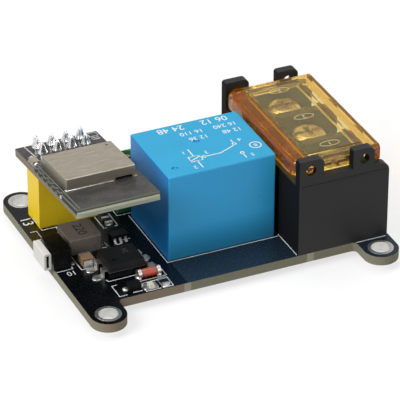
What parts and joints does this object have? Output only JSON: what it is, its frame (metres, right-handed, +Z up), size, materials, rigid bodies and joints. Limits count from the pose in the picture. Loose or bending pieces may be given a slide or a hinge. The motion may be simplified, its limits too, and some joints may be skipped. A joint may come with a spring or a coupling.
{
  "type": "smart relay module",
  "caption": "Circuit board with four mounting ears, a mains relay, a covered barrier terminal block, a plug-in radio module, a low-voltage screw terminal and a side reset button.",
  "frame": {"origin": "centre of the four mounting holes on the board's underside", "axes": "+X along the board towards the barrier terminals, +Y towards the green terminal's wire side, +Z up"},
  "size_m": [0.0559, 0.0434, 0.0212],
  "materials": {
    "board_black": "glossy black solder mask",
    "tinned_metal": "bright tin and solder",
    "relay_blue": "smooth blue moulding",
    "relay_base_black": "black moulding",
    "bobbin_white": "natural moulding",
    "copper_winding": "enamelled copper",
    "soft_iron": "plated iron",
    "contact_copper": "copper alloy with silver faces",
    "terminal_black": "satin black moulding",
    "terminal_brass": "tinned brass",
    "screw_nickel": "nickel plated steel",
    "cover_amber": "clear amber plastic",
    "socket_yellow": "yellow moulding",
    "header_black": "black moulding",
    "carrier_black": "black solder mask",
    "radio_board_black": "black solder mask",
    "shield_metal": "satin nickel silver",
    "chip_black": "black package",
    "chip_brown": "brown ceramic",
    "input_green": "green moulding",
    "switch_black": "black moulding",
    "button_cream": "cream moulding",
    "dome_steel": "spring steel",
    "inductor_grey": "pressed ferrite",
    "diode_glass": "orange glass",
    "light_white": "white base",
    "light_resin": "milky resin"
  },
  "bodies": {
    "board": {"main_board": "board_black", "mounting_hole_plating": "tinned_metal", "board_solder_joints": "tinned_metal", "socket_contacts": "tinned_metal", "relay_coil_pins": "tinned_metal", "relay_common_pin": "tinned_metal", "reset_switch_legs": "tinned_metal", "inductor_feet": "tinned_metal", "coupler_leads": "tinned_metal", "regulator_leads": "tinned_metal", "glass_diode_caps": "tinned_metal", "chip_end_caps": "tinned_metal", "signal_diode_leads": "tinned_metal", "input_bars": "tinned_metal", "relay_cover": "relay_blue", "relay_base": "relay_base_black", "relay_bobbin": "bobbin_white", "relay_coil": "copper_winding", "relay_core": "soft_iron", "relay_yoke": "soft_iron", "relay_fixed_contacts": "contact_copper", "terminal_housing": "terminal_black", "terminal_conductors": "terminal_brass", "socket_housing": "socket_yellow", "coupler_body": "chip_black", "regulator_body": "chip_black", "signal_diode": "chip_black", "chip_resistors": "chip_black", "chip_capacitor": "chip_brown", "input_housing": "input_green", "reset_switch_body": "switch_black", "reset_switch_dome": "dome_steel", "inductor_body": "inductor_grey", "glass_diode": "diode_glass", "light_base": "light_white", "light_lens": "light_resin"},
    "terminal_cover": {"terminal_cover": "cover_amber"},
    "radio_module": {"header_strip": "header_black", "header_pins": "tinned_metal", "header_solder": "tinned_metal", "carrier_board": "carrier_black", "carrier_capacitor": "chip_brown", "radio_board": "radio_board_black", "radio_edge_solder": "tinned_metal", "radio_shield": "shield_metal", "radio_chip": "chip_black"},
    "reset_button": {"reset_button": "button_cream"},
    "relay_armature": {"relay_armature": "soft_iron", "relay_contact_spring": "contact_copper", "relay_moving_contact": "contact_copper"},
    "clamp_plate_1": {"clamp_plate_1": "screw_nickel"},
    "terminal_screw_1": {"terminal_screw_1": "screw_nickel"},
    "clamp_plate_2": {"clamp_plate_2": "screw_nickel"},
    "terminal_screw_2": {"terminal_screw_2": "screw_nickel"},
    "clamp_plate_3": {"clamp_plate_3": "screw_nickel"},
    "terminal_screw_3": {"terminal_screw_3": "screw_nickel"},
    "input_screw_1": {"input_screw_1": "screw_nickel"},
    "input_cage_1": {"input_cage_1": "screw_nickel"},
    "input_screw_2": {"input_screw_2": "screw_nickel"},
    "input_cage_2": {"input_cage_2": "screw_nickel"}
  },
  "joints": [
    {"name": "terminal_cover_hinge", "type": "hinge", "parent": "board", "child": "terminal_cover", "pos_m": [0.01271, -0.00065, 0.0172], "axis": [0, -1, 0], "range_deg": [0, 105]},
    {"name": "module_slide", "type": "slide", "parent": "board", "child": "radio_module", "axis": [0, 0, 1], "range_m": [0, 0.0065]},
    {"name": "relay_armature_hinge", "type": "hinge", "parent": "board", "child": "relay_armature", "pos_m": [-0.00689, -0.00065, 0.01335], "axis": [0, 1, 0], "range_deg": [0, 2.2], "stiffness_Nm_per_rad": 0.02, "springref_deg": -2.86},
    {"name": "reset_button_press", "type": "slide", "parent": "board", "child": "reset_button", "axis": [1, 0, 0], "range_m": [0, 0.00025], "stiffness_N_per_m": 1500, "springref_m": -0.0001},
    {"name": "clamp_lift_1", "type": "slide", "parent": "board", "child": "clamp_plate_1", "axis": [0, 0, 1], "range_m": [0, 0.0016]},
    {"name": "terminal_screw_turn_1", "type": "hinge", "parent": "clamp_plate_1", "child": "terminal_screw_1", "pos_m": [0.01956, -0.01015, 0.01224], "axis": [0, 0, 1], "range_deg": [0, 1152.5]},
    {"name": "clamp_lift_2", "type": "slide", "parent": "board", "child": "clamp_plate_2", "axis": [0, 0, 1], "range_m": [0, 0.0016]},
    {"name": "terminal_screw_turn_2", "type": "hinge", "parent": "clamp_plate_2", "child": "terminal_screw_2", "pos_m": [0.01956, -0.00065, 0.01224], "axis": [0, 0, 1], "range_deg": [0, 1152.5]},
    {"name": "clamp_lift_3", "type": "slide", "parent": "board", "child": "clamp_plate_3", "axis": [0, 0, 1], "range_m": [0, 0.0016]},
    {"name": "terminal_screw_turn_3", "type": "hinge", "parent": "clamp_plate_3", "child": "terminal_screw_3", "pos_m": [0.01956, 0.00885, 0.01224], "axis": [0, 0, 1], "range_deg": [0, 1152.5]},
    {"name": "input_cage_lift_1", "type": "slide", "parent": "board", "child": "input_cage_1", "axis": [0, 0, 1], "range_m": [0, 0.0018]},
    {"name": "input_screw_turn_1", "type": "hinge", "parent": "board", "child": "input_screw_1", "pos_m": [-0.00836, 0.0111, 0.01], "axis": [0, 0, -1], "range_deg": [0, 1296.5]},
    {"name": "input_cage_lift_2", "type": "slide", "parent": "board", "child": "input_cage_2", "axis": [0, 0, 1], "range_m": [0, 0.0018]},
    {"name": "input_screw_turn_2", "type": "hinge", "parent": "board", "child": "input_screw_2", "pos_m": [-0.00328, 0.0111, 0.01], "axis": [0, 0, -1], "range_deg": [0, 1296.5]}
  ],
  "couplings": [
    {"joint": "terminal_screw_turn_1", "follows": "clamp_lift_1", "rad_per_m": 12566},
    {"joint": "terminal_screw_turn_2", "follows": "clamp_lift_2", "rad_per_m": 12566},
    {"joint": "terminal_screw_turn_3", "follows": "clamp_lift_3", "rad_per_m": 12566},
    {"joint": "input_screw_turn_1", "follows": "input_cage_lift_1", "rad_per_m": 12566},
    {"joint": "input_screw_turn_2", "follows": "input_cage_lift_2", "rad_per_m": 12566}
  ]
}
